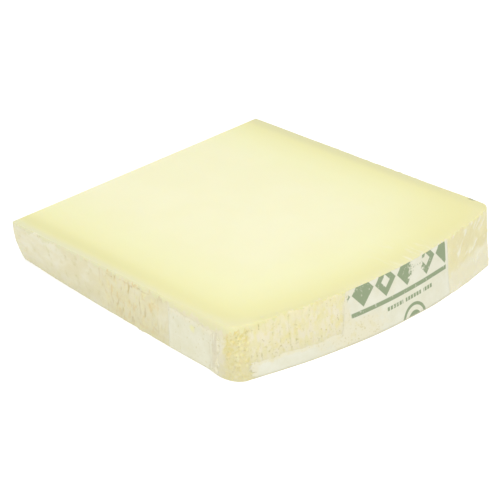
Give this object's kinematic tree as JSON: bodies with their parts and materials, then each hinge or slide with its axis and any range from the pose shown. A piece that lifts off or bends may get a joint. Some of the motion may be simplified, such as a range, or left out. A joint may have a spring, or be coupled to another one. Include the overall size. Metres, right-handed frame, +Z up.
{
  "type": "cheese wedge",
  "caption": "Flat slice of a pressed hard cheese with a pale yellow cut paste, a beige rind on three sides and the worn remains of a paper label.",
  "frame": {"origin": "on the surface that the slice lies on, at the middle of its bounding box", "axes": "+X out through the heel, the bulging rim of the cheese wheel; +Y across the wheel's height, from one flat rind face to the other; +Z up, out of the upper cut face"},
  "size_m": [0.1162, 0.1106, 0.0188],
  "materials": {
    "cheese": "satin",
    "heel_label": "matte",
    "side_label_scrap": "matte"
  },
  "bodies": {
    "root": {"cheese": "cheese", "heel_label": "heel_label", "side_label_scrap": "side_label_scrap"}
  },
  "joints": []
}
